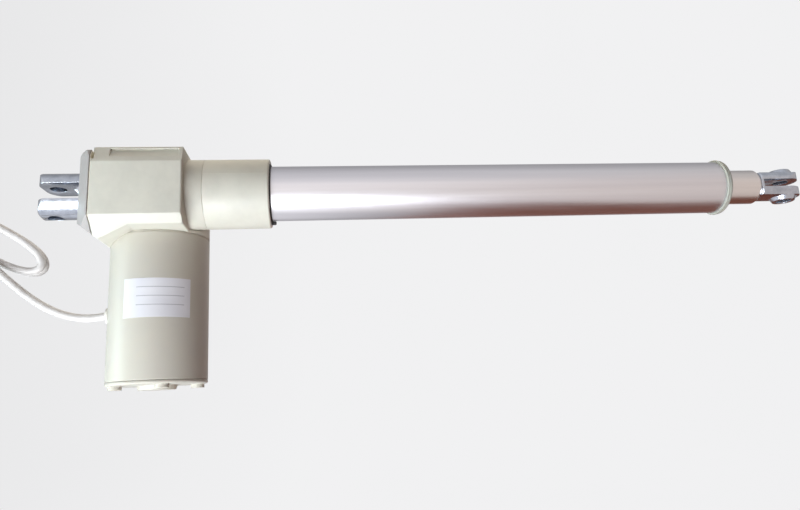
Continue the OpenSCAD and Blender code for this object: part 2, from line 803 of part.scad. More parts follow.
module rotor_core() {
    slots = 12;
    color("slategray") at_motor() difference() {
        tube_along_z(core_z[0], core_z[1], core_r, shaft_r);
        for (i = [0:slots - 1]) rotate([0, 0, 360 * i / slots]) {
            block([12.5, -2.2, core_z[0] - 1], [18.5, 2.2, core_z[1] + 1]);
            block([18, -0.8, core_z[0] - 1], [22, 0.8, core_z[1] + 1]);
        }
    }
}

module rotor_windings() {
    slots = 12;
    color("chocolate") at_motor() {
        for (i = [0:slots - 1]) rotate([0, 0, 360 * i / slots])
            block([12.6, -2.1, core_z[0] - 1], [18.4, 2.1, core_z[1] + 1]);
        for (z = [core_z[0] - 2.6, core_z[1] + 0.2]) difference() {
            rod_z(z, z + 2.4, 19);
            rod_z(z - 1, z + 4, 10.5);
        }
    }
}

module commutator() {
    bars = 12;
    color("peru") at_motor() difference() {
        union() {
            tube_along_z(brush_z - 1, brush_z + 7.4, 9, shaft_r);
            tube_along_z(brush_z + 7.4, brush_z + 8.6, 10, shaft_r);
        }
        for (i = [0:bars - 1]) rotate([0, 0, 360 * i / bars])
            block([8, -0.25, brush_z - 2], [11, 0.25, brush_z + 9]);
    }
}

// Worm thread radius at azimuth a, for one straight-sided thread
crest_half = worm_pitch / 4 - backlash - gear_module * tan(20);
root_half = worm_pitch / 4 - backlash + 1.2 * gear_module * tan(20);
function worm_r(a) =
    let (z = abs(a > 180 ? a - 360 : a) / 360 * worm_pitch,
        f = min(1, max(0, (z - crest_half) / (root_half - crest_half))))
    worm_pitch_r + gear_module - 2.2 * gear_module * f;

module worm() {
    turns = 2 * worm_half / worm_pitch;
    color("goldenrod") at_motor() difference() {
        translate([0, 0, -worm_half]) rotate([0, 0, 270 - 180 * turns])
            linear_extrude(2 * worm_half, twist = -360 * turns, slices = round(14 * turns), segments = 24)
                polygon([for (a = [0:15:345]) worm_r(a) * [cos(a), sin(a)]]);
        rod_z(-worm_half - 1, worm_half + 1, worm_brg[3]);
    }
}

// ---------- spindle ----------

thread_x = [84, spindle_end_x - 8];
core_thread_r = thread_d / 2 - 1.5;

module spindle() {
    // One groove of the trapezoidal thread, drawn as a ring
    groove = function (x) [[x, thread_d / 2], [x + 0.8, core_thread_r],
        [x + 2.2, core_thread_r], [x + 3, thread_d / 2]];
    color("silver") difference() {
        turned([[rear_brg[0] - 1.5, 0], [rear_brg[0] - 1.5, 5.5], [rear_brg[0] - 1, rear_brg[3]],
            [bar_end_x + 2, rear_brg[3]], [bar_end_x + 2, 8], [front_brg[0] - 1, 8],
            [front_brg[0] - 1, front_brg[3]], [front_brg[0] + front_brg[1] + 1, front_brg[3]],
            [front_brg[0] + front_brg[1] + 1, thread_d / 2],
            for (x = [thread_x[0]:lead:thread_x[1]]) each groove(x),
            [spindle_end_x - 7, thread_d / 2], [spindle_end_x - 7, 5],
            [spindle_end_x - 0.5, 5], [spindle_end_x, 4.5], [spindle_end_x, 0]]);
        key_space(0.02);
        rod_x_ring(spindle_end_x - 1.9, 1.1, 6, 4.4);
    }
}

module rod_x_ring(x0, w, r_out, r_in) { tube_along_x(x0, x0 + w, r_out, r_in); }

module key_space(gap) {
    block([motor_x - 5 - gap, -2 - gap, 5.5 - gap], [motor_x + 5 + gap, 2 + gap, 9.8 + gap]);
}

module wheel_key() { color("silver") key_space(0); }

// Involute tooth of the worm wheel
base_r = wheel_pitch_r * cos(20);
function involute(a) = tan(a) * 180 / PI - a;
function tooth_half(r) =
    let (a = r > base_r ? acos(base_r / r) : 0)
    (worm_pitch / 4 - backlash) / wheel_pitch_r * 180 / PI + involute(20) - involute(a);
tip_r = wheel_pitch_r + gear_module;
root_r = wheel_pitch_r - 1.25 * gear_module;
flank = [root_r, base_r, base_r + 0.7, wheel_pitch_r + 0.3, tip_r];

module worm_wheel() {
    helix = atan(worm_pitch / (2 * PI * worm_pitch_r));
    twist = wheel_w * tan(helix) / wheel_pitch_r * 180 / PI;
    pitch_a = 360 / wheel_teeth;
    outline = [for (i = [0:wheel_teeth - 1]) let (c = (i + 0.5) * pitch_a) each concat(
        [for (r = flank) r * [cos(c - tooth_half(r)), sin(c - tooth_half(r))]],
        [for (k = [4:-1:0]) flank[k] * [cos(c + tooth_half(flank[k])), sin(c + tooth_half(flank[k]))]])];
    color("ivory") difference() {
        union() {
            along_x(motor_x - wheel_w / 2) rotate([0, 0, -twist / 2])
                linear_extrude(wheel_w, twist = -twist, slices = 4, segments = len(outline))
                    polygon(outline);
            rod_x(wheel_x0 + 1, front_brg[0] - 3, 11);
        }
        rod_x(wheel_x0 - 1, front_brg[0], 8);
        key_space(0.02);
    }
}

module spindle_guide() {
    color("ivory") tube_along_x(spindle_end_x - 6.9, spindle_end_x - 2, rod_bore_r - 0.1, 5);
}

module spindle_clip() {
    color("dimgray") difference() {
        rod_x_ring(spindle_end_x - 1.85, 1, 6.4, 4.45);
        block([spindle_end_x - 3, -2.6, 0], [spindle_end_x + 1, 2.6, 9]);
    }
}

// ---------- pushing rod ----------

module inner_tube() {
    color("gainsboro") difference() {
        turned([[rod_rear_x, 0], [rod_rear_x, rod_r], [rod_front_x - 2.2, rod_r],
            [rod_front_x - 0.3, rod_r - 1.4], [rod_front_x, rod_r - 1.8], [rod_front_x, 0]]);
        rod_x(rod_rear_x - 1, rod_front_x + 1, rod_bore_r);
        at_nut_pins() rod_z(5, 14, 1.26);
    }
}

module at_nut_pins() {
    pin_x = (nut_socket_x + nut_front_x) / 2;
    for (a = [45, 225]) translate([pin_x, 0, 0]) rotate([a, 0, 0]) children();
}

module drive_nut() {
    nut_r = tube_bore_r - 0.2;
    color("honeydew") difference() {
        turned([[nut_x, 0], [nut_x, nut_r - 0.8], [nut_x + 0.8, nut_r], [nut_front_x - 0.8, nut_r],
            [nut_front_x, nut_r - 0.8], [nut_front_x, 0]]);
        rod_x(nut_x - 1, nut_front_x + 1, thread_d / 2 + 0.15);
        rod_x(nut_socket_x, nut_front_x + 1, rod_r + 0.02);
        tube_ribs(tube_bore_r - 1.3, 1.4, nut_x - 1, nut_front_x + 1);
        block([nut_x - 1, -3.4, -17], [nut_front_x + 1, 3.4, strip_z[1] + 0.35]);
        at_nut_pins() rod_z(5, 14.6, 1.26);
    }
}

module nut_pins() {
    color("silver") at_nut_pins() rod_z(rod_bore_r + 0.1, 14.5, 1.25);
}

module front_clevis() {
    half_h = 8.2;
    half_w = 10.6;
    boss_z = 11.1;
    boss_r = 8.4;
    color("lightsteelblue") difference() {
        union() {
            // Body, flat top and bottom, round in plan at the tip
            intersection() {
                turned([[rod_front_x + 0.02, 0], [rod_front_x + 0.02, half_w], [rod_front_x + 0.8, 11.8],
                    [front_tip_x, 11.8], [front_tip_x, 0]]);
                block([rod_front_x, -13, -half_h], [front_tip_x, 13, half_h]);
                union() {
                    block([rod_front_x, -half_w, -20], [pin_to_pin, half_w, 20]);
                    translate([pin_to_pin, 0, 0]) rod_z(-20, 20, clevis_tip_r);
                }
            }
            // Raised faces round the pin hole
            translate([pin_to_pin, 0, 0]) for (s = [0, 180]) rotate([s, 0, 0])
                translate([0, 0, half_h - 2])
                    cylinder(h = boss_z - half_h + 2, r1 = boss_r + 1.6, r2 = boss_r - 1.2);
            rod_x(rod_front_x - 24, rod_front_x + 1, rod_bore_r - 0.03);
        }
        block([rod_front_x + 1.8, -20, -front_slot / 2], [front_tip_x + 2, 20, front_slot / 2]);
        translate([pin_to_pin, 0, 0]) rod_z(-20, 20, pin_d / 2);
    }
}

rear_clevis();
clevis_dowel();
rear_cover();
cover_gasket();
cover_screws();
gear_housing();
rear_bearing_outer();
rear_bearing_balls();
rear_bearing_inner();
front_bearing_outer();
front_bearing_balls();
front_bearing_inner();
worm_bearing_outer();
worm_bearing_balls();
worm_bearing_inner();
tube_collar();
tube_seal();
outer_tube();
guide_bush();
front_cap();
rod_wiper();
limit_strip();
retract_switch();
extend_switch();
retract_plunger();
extend_plunger();
switch_wires();
motor_cover();
cover_base();
base_screws();
motor_can();
motor_end_plate();
motor_screws();
motor_magnets();
motor_bushes();
brush_holder();
brushes();
brush_springs();
motor_leads();
cable_grommet();
power_cable();
cable_strap();
cable_plug();
plug_pins();
rating_label();
motor_shaft();
rotor_core();
rotor_windings();
commutator();
worm();
spindle();
worm_wheel();
wheel_key();
spindle_guide();
spindle_clip();
inner_tube();
drive_nut();
nut_pins();
front_clevis();
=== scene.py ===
"""Looks of a linear actuator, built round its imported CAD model.

Everything is in metres in the CAD's own frame: the origin is the rear pin hole, +X runs along
the rod, +Z is up and the motor hangs down.
"""
import json
import math

import bmesh
import bpy
from mathutils import Matrix, Vector


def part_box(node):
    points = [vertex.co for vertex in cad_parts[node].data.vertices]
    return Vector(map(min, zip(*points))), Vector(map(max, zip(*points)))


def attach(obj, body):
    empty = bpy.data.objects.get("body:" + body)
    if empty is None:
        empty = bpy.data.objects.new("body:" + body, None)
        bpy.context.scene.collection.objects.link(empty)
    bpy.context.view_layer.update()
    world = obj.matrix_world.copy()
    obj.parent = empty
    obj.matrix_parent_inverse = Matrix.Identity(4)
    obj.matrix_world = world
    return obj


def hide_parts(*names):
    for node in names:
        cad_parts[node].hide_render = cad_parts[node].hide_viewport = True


MM = 0.001
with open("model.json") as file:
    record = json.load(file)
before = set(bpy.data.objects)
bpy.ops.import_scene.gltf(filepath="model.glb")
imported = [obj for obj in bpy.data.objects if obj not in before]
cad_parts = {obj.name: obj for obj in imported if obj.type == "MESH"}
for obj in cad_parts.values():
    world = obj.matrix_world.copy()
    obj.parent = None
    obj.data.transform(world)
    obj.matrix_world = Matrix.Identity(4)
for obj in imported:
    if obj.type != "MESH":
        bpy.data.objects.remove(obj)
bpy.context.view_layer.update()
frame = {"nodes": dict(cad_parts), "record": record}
nodes = frame["nodes"]
record = frame["record"]
slot_of = {row["node"]: row["material_slot"] for row in record["subparts"]}
body_of = {n: body for body, members in record["behaviour"]["bodies"].items() for n in members}
X_AXIS, Y_AXIS, Z_AXIS = Vector((1, 0, 0)), Vector((0, 1, 0)), Vector((0, 0, 1))


# ---------------------------------------------------------------- materials

def srgb(r, g, b):
    """Linear colour from 0 to 255 screen values."""
    def linear(v):
        v /= 255
        return v / 12.92 if v <= 0.04045 else ((v + 0.055) / 1.055) ** 2.4
    return (linear(r), linear(g), linear(b), 1)


def scaled(colour, share):
    """The same colour, brighter or darker."""
    return tuple(share * c for c in colour[:3]) + (1,)


class Nodes:
    """A node tree, and the few kinds of node that the materials and the world are built from."""

    def __init__(self, tree):
        self.tree = tree

    def node(self, kind, **values):
        made = self.tree.nodes.new(kind)
        for key, value in values.items():
            if hasattr(made, key):
                setattr(made, key, value)
            else:
                made.inputs[key.replace("_", " ")].default_value = value
        return made

    def feed(self, target, value):
        """Links target to a socket, or sets it to anything else."""
        if isinstance(value, bpy.types.NodeSocket):
            self.tree.links.new(value, target)
        else:
            target.default_value = value

    def ramp(self, value, low, high, start=0.3, end=0.7, smooth=False):
        """Maps value from start..end to low..high, which are numbers."""
        made = self.node("ShaderNodeMapRange", From_Min=start, From_Max=end, To_Min=low, To_Max=high)
        if smooth:
            made.interpolation_type = "SMOOTHSTEP"
        self.feed(made.inputs["Value"], value)
        return made.outputs[0]

    def mix(self, fac, a, b):
        made = self.node("ShaderNodeMix", data_type="RGBA")
        for place, value in ((0, fac), (6, a), (7, b)):
            self.feed(made.inputs[place], value)
        return made.outputs[2]

    def math(self, operation, a, b):
        made = self.node("ShaderNodeMath", operation=operation)
        for place, value in enumerate((a, b)):
            self.feed(made.inputs[place], value)
        return made.outputs[0]

    def dot(self, a, b):
        made = self.node("ShaderNodeVectorMath", operation="DOT_PRODUCT")
        for place, value in enumerate((a, b)):
            self.feed(made.inputs[place], value)
        return made.outputs["Value"]

    def parts(self, vector):
        """Outputs X, Y and Z of a vector."""
        made = self.node("ShaderNodeSeparateXYZ")
        self.feed(made.inputs[0], vector)
        return made.outputs


class Finish(Nodes):
    """A procedural material."""

    def __init__(self, name):
        self.material = bpy.data.materials.new(name)
        self.material.use_nodes = True
        super().__init__(self.material.node_tree)
        self.surface = self.tree.nodes["Principled BSDF"]
        self.place = self.node("ShaderNodeTexCoord").outputs["Object"]

    def put(self, **values):
        """Sets or links inputs of the surface."""
        for key, value in values.items():
            self.feed(self.surface.inputs[key.replace("_", " ")], value)

    def noise(self, scale, detail=3.0, rough=0.5, stretch=(1, 1, 1)):
        stretched = self.node("ShaderNodeMapping", Scale=stretch)
        self.feed(stretched.inputs["Vector"], self.place)
        made = self.node("ShaderNodeTexNoise", Scale=scale, Detail=detail, Roughness=rough)
        self.feed(made.inputs["Vector"], stretched.outputs[0])
        return made.outputs["Fac"]

    def wave(self, scale, direction):
        """Even stripes across one axis."""
        made = self.node("ShaderNodeTexWave", Scale=scale, bands_direction=direction)
        self.feed(made.inputs["Vector"], self.place)
        return made.outputs["Fac"]

    def round_edges(self, radius):
        return self.node("ShaderNodeBevel", samples=6, Radius=radius).outputs[0]

    def edge_mask(self, radius):
        """1 on sharp edges and 0 on flats, from how far rounding turns the surface."""
        normal = self.node("ShaderNodeNewGeometry").outputs["Normal"]
        return self.ramp(self.dot(self.round_edges(radius), normal), 1.0, 0.0, 0.75, 0.99)

    def bump(self, height, distance, strength=1.0, rounding=None):
        made = self.node("ShaderNodeBump", Strength=strength, Distance=distance)
        self.feed(made.inputs["Height"], height)
        if rounding:
            self.feed(made.inputs["Normal"], self.round_edges(rounding))
        self.feed(self.surface.inputs["Normal"], made.outputs[0])
        return self


def moulded(name, colour, patch, edge, rough=0.42, grain=0.00002, rounding=0.6 * MM):
    """Moulded plastic: fine grain, faint uneven patches, and edges painted a shade lighter as a painted
    highlight.
    """
    f = Finish(name)
    blotches = f.ramp(f.noise(55, 4, 0.6), 0, 1, 0.35, 0.7)
    base = f.mix(blotches, colour, patch)
    # Painted highlight: the edge colour is mixed in where the rounded edges would catch the light.
    base = f.mix(f.math("MULTIPLY", f.edge_mask(rounding), 0.5), base, edge)
    fine = f.noise(5200, 2, 0.6)
    f.put(Base_Color=base, Roughness=f.ramp(f.noise(240, 5, 0.65), rough - 0.05, rough + 0.08))
    f.put(IOR=1.48, Subsurface_Weight=0.02, Subsurface_Scale=0.002)
    return f.bump(fine, grain, 0.6, rounding).material


def drawn_tube(name, colour, shade, rough, along=X_AXIS, lines=2600):
    """Satin anodised metal with fine lines drawn along one axis."""
    f = Finish(name)
    streaks = f.noise(lines, 3, 0.55, tuple(0.006 if a else 1 for a in along))
    broad = f.noise(160, 3, 0.5, tuple(0.02 if a else 1 for a in along))
    base = f.mix(f.ramp(broad, 0, 1), colour, shade)
    f.put(Base_Color=base, Metallic=1.0, Roughness=f.ramp(streaks, rough - 0.04, rough + 0.07))
    return f.bump(streaks, 0.000012, 0.55, 0.25 * MM).material


def plated(name, colour, shade, rough, dents=0.00004, edge_highlight=None):
    """Bright plated casting: slightly wavy surface, small pits, edges painted brighter as a painted
    highlight.
    """
    f = Finish(name)
    cloud = f.ramp(f.noise(150, 4, 0.6), 0, 1)
    base = f.mix(cloud, colour, shade)
    # Painted highlight: edges take a brighter colour where they would catch the light.
    base = f.mix(f.math("MULTIPLY", f.edge_mask(0.5 * MM), 0.7), base, edge_highlight or colour)
    f.put(Base_Color=base, Metallic=1.0, Roughness=f.ramp(f.noise(420, 5, 0.7), rough - 0.05, rough + 0.1))
    wavy = f.math("ADD", f.noise(210, 2, 0.5), f.math("MULTIPLY", f.noise(2400, 3, 0.6), 0.18))
    return f.bump(wavy, dents, 0.6, 0.5 * MM).material


def turned_steel(name, colour, rough, axis, lines=5200, stretch=0.02):
    """Machined steel with rings left by the tool."""
    f = Finish(name)
    rings = f.noise(lines, 2, 0.5, tuple(1 if a else stretch for a in axis))
    base = f.mix(f.ramp(f.noise(300, 4, 0.6), 0, 1), colour, scaled(colour, 0.8))
    f.put(Base_Color=base, Metallic=1.0, Roughness=f.ramp(rings, rough - 0.05, rough + 0.1))
    return f.bump(rings, 0.00001, 0.5, 0.2 * MM).material


def rubbery(name, colour, rough=0.7):
    f = Finish(name)
    f.put(Base_Color=f.mix(f.ramp(f.noise(700, 4, 0.6), 0, 1), colour, scaled(colour, 1.3)))
    f.put(Roughness=f.ramp(f.noise(1500, 3, 0.6), rough - 0.1, rough + 0.1))
    return f.bump(f.noise(3800, 3, 0.6), 0.00002, 0.5, 0.2 * MM).material


def glossy(name, colour, patch, rough=0.25):
    f = Finish(name)
    f.put(Base_Color=f.mix(f.ramp(f.noise(260, 3, 0.5), 0, 1), colour, patch))
    f.put(Roughness=f.ramp(f.noise(900, 3, 0.6), rough - 0.06, rough + 0.1), Coat_Weight=0.15)
    return f.bump(f.noise(2600, 2, 0.5), 0.00001, 0.4, 0.3 * MM).material


def woven(name, colour, thread):
    """Webbing: two crossed sets of threads."""
    f = Finish(name)
    weave = f.math("MULTIPLY", f.wave(260.0, "X"), f.wave(260.0, "Z"))
    f.put(Base_Color=f.mix(weave, colour, thread), Roughness=0.85, Sheen_Weight=0.3)
    return f.bump(weave, 0.0002, 0.8).material


def board(name):
    """Circuit board: solder mask with copper tracks along it."""
    f = Finish(name)
    lines = f.ramp(f.wave(90.0, "Y"), 0, 1, 0.55, 0.62)
    f.put(Base_Color=f.mix(lines, srgb(18, 92, 52), srgb(44, 128, 74)), Roughness=0.35)
    return f.bump(lines, 0.00003, 0.7).material


def label_film(name):
    """Blank sticker: satin film with three faint ruled lines to write on."""
    f = Finish(name)
    lo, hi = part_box("rating_label")
    x, _, z = f.parts(f.place)
    pitch, half = 5.5 * MM, 0.22 * MM
    left, right = lo.x + 8 * MM, hi.x - 3 * MM
    from_line = f.math("PINGPONG", f.math("SUBTRACT", hi.z - pitch, z), pitch / 2)
    ruled = f.math("LESS_THAN", from_line, half)
    for value, start, end in ((z, lo.z + 0.9 * pitch, hi.z - 0.9 * pitch), (x, left, right)):
        ruled = f.math("MULTIPLY", ruled, f.math("GREATER_THAN", value, start))
        ruled = f.math("MULTIPLY", ruled, f.math("LESS_THAN", value, end))
    film = f.mix(f.ramp(f.noise(60, 3, 0.5), 0, 1), srgb(232, 231, 236), srgb(223, 222, 229))
    f.put(Base_Color=f.mix(f.math("MULTIPLY", ruled, 0.55), film, srgb(120, 120, 130)))
    f.put(Roughness=f.ramp(f.noise(900, 3, 0.5), 0.33, 0.45), Coat_Weight=0.1)
    return f.bump(f.noise(320, 2, 0.5), 0.00004, 0.4, 0.05 * MM).material


def laminated(name, colour, dark):
    """Stack of thin sheets along Z."""
    f = Finish(name)
    sheets = f.wave(320.0, "Z")
    f.put(Base_Color=f.mix(sheets, dark, colour), Metallic=0.9, Roughness=0.45)
    return f.bump(sheets, 0.00006, 0.7, 0.2 * MM).material


def make_finishes():
    ivory, ivory_dim = srgb(218, 215, 203), srgb(208, 205, 194)
    return {
        # The third colour of each moulded finish, and the zinc's edge colour, is a painted highlight on its
        # edges.
        "clevis_zinc": plated("zinc", srgb(188, 193, 203), srgb(160, 166, 177), 0.18,
                              edge_highlight=srgb(222, 226, 234)),
        # The rear cover is the housing's ivory plastic, painted darker and greyer as painted shade for its
        # shaded side.
        "cover_plastic": moulded("cover_ivory_painted_shade", srgb(168, 163, 161), srgb(160, 156, 154), srgb(206, 203, 200)),
        "housing_plastic": moulded("housing_ivory", ivory, ivory_dim, srgb(236, 233, 220)),
        "motor_cover_plastic": moulded("motor_ivory", srgb(201, 196, 184), srgb(198, 193, 184),
                                       srgb(232, 228, 216), rough=0.36, grain=0.00001),
        "tube_anodised": drawn_tube("tube", srgb(214, 212, 216), srgb(200, 198, 203), 0.36),
        "rod_anodised": drawn_tube("rod", srgb(214, 209, 207), srgb(201, 196, 195), 0.32),
        "cap_plastic": moulded("cap", srgb(186, 187, 177), srgb(176, 177, 168), srgb(214, 216, 206),
                               rough=0.34),
        "bright_steel": turned_steel("steel", srgb(186, 188, 192), 0.28, X_AXIS),
        "bearing_steel": turned_steel("bearing", srgb(206, 208, 212), 0.16, X_AXIS),
        "screw_steel": turned_steel("screws", srgb(188, 190, 190), 0.3, Z_AXIS),
        "can_steel": turned_steel("can", srgb(180, 180, 178), 0.34, Z_AXIS),
        "worm_steel": turned_steel("worm", srgb(160, 156, 148), 0.3, Z_AXIS),
        "seal_rubber": rubbery("rubber", srgb(46, 44, 44)),
        "grommet_rubber": rubbery("grommet", srgb(222, 219, 212)),
        # The gasket is painted pale, a painted highlight, so the joint shows as a light line instead of its
        # groove's shadow.
        "gasket_sheet": rubbery("gasket", srgb(240, 234, 216)),
        "carbon": rubbery("carbon", srgb(44, 44, 46), 0.55),
        "magnet_ferrite": rubbery("ferrite", srgb(66, 66, 70), 0.5),
        "bush_plastic": moulded("bush", srgb(226, 222, 206), srgb(216, 211, 196), srgb(236, 233, 222)),
        "gear_plastic": moulded("gear", srgb(236, 232, 216), srgb(226, 222, 206), srgb(244, 240, 228)),
        "nut_plastic": moulded("nut", srgb(218, 226, 214), srgb(206, 214, 202), srgb(232, 238, 228)),
        "board_green": board("board"),
        "switch_black": moulded("switch", srgb(34, 34, 36), srgb(44, 44, 46), srgb(70, 70, 72)),
        "button_red": glossy("button", srgb(176, 34, 26), srgb(156, 28, 22)),
        "lead_red": glossy("lead", srgb(168, 36, 30), srgb(150, 30, 26), 0.35),
        "cable_white": glossy("cable", srgb(226, 222, 220), srgb(214, 209, 207), 0.38),
        "strap_black": woven("strap", srgb(20, 20, 22), srgb(52, 52, 56)),
        "plug_black": glossy("plug", srgb(30, 30, 32), srgb(40, 40, 43), 0.35),
        "contact_brass": turned_steel("contact", srgb(212, 176, 96), 0.25, X_AXIS),
        "label_film": label_film("label"),
        "bronze": turned_steel("bronze", srgb(176, 128, 78), 0.45, Z_AXIS),
        "holder_brown": moulded("holder", srgb(96, 64, 42), srgb(84, 56, 36), srgb(130, 94, 66)),
        "lamination_steel": laminated("laminations", srgb(128, 130, 136), srgb(74, 75, 80)),
        "copper": turned_steel("copper", srgb(190, 112, 74), 0.3, Z_AXIS, 3800),
    }


finishes = make_finishes()
for name, cad in nodes.items():
    cad.data.materials.clear()
    cad.data.materials.append(finishes[slot_of[name]])


# ---------------------------------------------------------------- shapes

def rounded(rows, steps=5):
    """Section points from (station, radius, corner radius) rows, with each corner made an arc."""
    points = []
    for i, (station, radius, corner) in enumerate(rows):
        here = Vector((station, radius))
        if corner <= 0:
            points.append(here)
            continue
        to_last = (Vector(rows[i - 1][:2]) - here).normalized()
        to_next = (Vector(rows[(i + 1) % len(rows)][:2]) - here).normalized()
        half = to_last.angle(to_next) / 2
        middle = here + (to_last + to_next).normalized() * corner / math.sin(half)
        first = here + to_last * corner / math.tan(half) - middle
        last = here + to_next * corner / math.tan(half) - middle
        sweep = first.angle_signed(last)
        points += [middle + Matrix.Rotation(-sweep * k / steps, 2) @ first for k in range(steps + 1)]
    return points


def to_object(name, bm, smooth_angle=30):
    bmesh.ops.recalc_face_normals(bm, faces=bm.faces)
    mesh = bpy.data.meshes.new(name)
    bm.to_mesh(mesh)
    bm.free()
    mesh.shade_smooth()
    mesh.set_sharp_from_angle(angle=math.radians(smooth_angle))
    made = bpy.data.objects.new(name, mesh)
    bpy.context.scene.collection.objects.link(made)
    return made


def on_axis(axis, centre, station, radius, angle):
    """Point at an angle round an axis along X or Z; centre is its other two coordinates."""
    c, s = radius * math.cos(angle), radius * math.sin(angle)
    if axis == "X":
        return (station, centre[0] + c, centre[1] + s)
    return (centre[0] + c, centre[1] + s, station)


def add_lathe(bm, rows, axis="X", centre=(0, 0), steps=144):
    """Adds a solid of revolution with the given section, a closed loop of rows."""
    section = rounded(rows)
    rings = []
    for p in section:
        if p.y < 1e-7:
            rings.append([bm.verts.new(on_axis(axis, centre, p.x, 0, 0))] * steps)
        else:
            rings.append([bm.verts.new(on_axis(axis, centre, p.x, p.y, math.tau * k / steps))
                          for k in range(steps)])
    for i, ring in enumerate(rings):
        after = rings[(i + 1) % len(rings)]
        if ring[0] is ring[1] and after[0] is after[1]:
            continue
        for k in range(steps):
            m = (k + 1) % steps
            corners = [ring[k], ring[m], after[m], after[k]]
            bm.faces.new([v for j, v in enumerate(corners) if v is not corners[j - 1]])


def lathe(name, rows, axis="X", centre=(0, 0), steps=144):
    bm = bmesh.new()
    add_lathe(bm, rows, axis, centre, steps)
    return to_object(name, bm)


def add_box(bm, lo, hi):
    made = bmesh.ops.create_cube(bm, size=1)
    for v in made["verts"]:
        v.co = Vector(lo[i] if v.co[i] < 0 else hi[i] for i in range(3))


def add_sweep(bm, path, radius, sides=20):
    """Adds a round rod along a path, with its ends closed."""
    path = [Vector(p) for p in path]
    side = None
    rings = []
    for i, p in enumerate(path):
        ahead = (path[min(i + 1, len(path) - 1)] - path[max(i - 1, 0)]).normalized()
        if side is None:
            side = ahead.orthogonal().normalized()
        side = (side - ahead * side.dot(ahead)).normalized()
        up = ahead.cross(side)
        rings.append([bm.verts.new(p + radius * (math.cos(a) * side + math.sin(a) * up))
                      for a in (math.tau * k / sides for k in range(sides))])
    for near, far in zip(rings, rings[1:]):
        for k in range(sides):
            m = (k + 1) % sides
            bm.faces.new((near[k], near[m], far[m], far[k]))
    bm.faces.new(rings[0])
    bm.faces.new(rings[-1])


def sweep(name, path, radius, sides=20):
    bm = bmesh.new()
    add_sweep(bm, path, radius, sides)
    return to_object(name, bm)


def add_thread(bm, span, root, crest, pitch, starts, halves, axis="X", centre=(0, 0), phase=0.0, steps=40):
    """Adds a right-hand thread. Its rows follow the helix; halves are half widths of crest and root."""
    profile = [(-halves[1], root), (-halves[0], crest), (halves[0], crest), (halves[1], root)]
    lead = pitch * starts
    first = math.floor((span[0] - lead) / pitch) - 1
    count = math.ceil((span[1] + lead) / pitch) + 1 - first
    columns = []
    for k in range(steps):
        shift = lead * k / steps + phase
        column = []
        for j in range(count):
            for offset, radius in profile:
                station = (first + j) * pitch + offset + shift
                inside = span[0] < station < span[1]
                held = min(max(station, span[0]), span[1])
                column.append(bm.verts.new(on_axis(axis, centre, held, radius if inside else root,
                                                   math.tau * k / steps)))
        columns.append(column)
    jump = len(profile) * starts
    rows = len(columns[0])
    for k in range(steps):
        near, far = columns[k], columns[(k + 1) % steps]
        skip = jump if k == steps - 1 else 0
        for j in range(rows - 1 - jump):
            a, b = (j + jump, j) if skip else (j, j)
            bm.faces.new((near[a], near[a + 1], far[b + 1], far[b]))
    bmesh.ops.remove_doubles(bm, verts=bm.verts, dist=1e-7)
    bmesh.ops.dissolve_degenerate(bm, edges=bm.edges, dist=1e-7)
    loose = [v for v in bm.verts if not v.link_faces]
    bmesh.ops.delete(bm, geom=loose, context="VERTS")


def bezier(points, t):
    a, b, c, d = (Vector(p) for p in points)
    return a * (1 - t) ** 3 + b * (3 * t * (1 - t) ** 2) + c * (3 * t * t * (1 - t)) + d * t ** 3


def stand_for(piece, node):
    """Shows piece in a CAD node's place, with its body and its finish."""
    piece.data.materials.clear()
    piece.data.materials.append(finishes[slot_of[node]])
    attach(piece, body_of[node])
    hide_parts(node)


def softened(node, width, angle=28, segments=3):
    """A CAD node's own shape with its sharp edges rounded."""
    bm = bmesh.new()
    bm.from_mesh(nodes[node].data)
    bmesh.ops.remove_doubles(bm, verts=bm.verts, dist=2e-6)
    bmesh.ops.dissolve_limit(bm, angle_limit=math.radians(0.6), verts=bm.verts, edges=bm.edges)
    sharp = [e for e in bm.edges if len(e.link_faces) == 2 and e.calc_face_angle(0) > math.radians(angle)]
    bmesh.ops.bevel(bm, geom=sharp, offset=width, offset_type="OFFSET", segments=segments,
                    profile=0.5, affect="EDGES", clamp_overlap=True)
    bmesh.ops.triangulate(bm, faces=[f for f in bm.faces if len(f.verts) > 4])
    stand_for(to_object(node + "_form", bm), node)


# ---------------------------------------------------------------- turned pieces

def span(node):
    """Start, end and outer radius of a round node along X."""
    lo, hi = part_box(node)
    return lo.x, hi.x, (hi.z - lo.z) / 2


def ring_rows(x0, x1, outer, inner, corner=0.3 * MM):
    return [(x0, inner, corner), (x0, outer, corner), (x1, outer, corner), (x1, inner, corner)]


TUBE_WALL = 2 * MM
ROD_WALL = 2.5 * MM
RUN_GAP = 0.05 * MM
WIPER_W = 3.4 * MM


def outer_tube():
    x0, x1, r = span("outer_tube")
    bm = bmesh.new()
    bore = r - TUBE_WALL
    add_lathe(bm, ring_rows(x0, x1, r, bore), steps=180)
    for side in (-1, 1):
        ys = sorted((side * (bore - 1.1 * MM), side * (bore + 0.5 * MM)))
        add_box(bm, (x0 + 0.2 * MM, ys[0], -1.2 * MM), (x1 - 0.2 * MM, ys[1], 1.2 * MM))
    stand_for(to_object("outer_tube_form", bm), "outer_tube")


def inner_tube():
    x0, x1, r = span("inner_tube")
    rows = [(x0, r - ROD_WALL, 0.2 * MM), (x0, r, 0.3 * MM), (x1 - 2.2 * MM, r, 0.8 * MM),
            (x1 - 0.3 * MM, r - 1.4 * MM, 0.15 * MM), (x1, r - 1.8 * MM, 0.1 * MM), (x1, r - ROD_WALL, 0)]
    stand_for(lathe("inner_tube_form", rows, steps=160), "inner_tube")


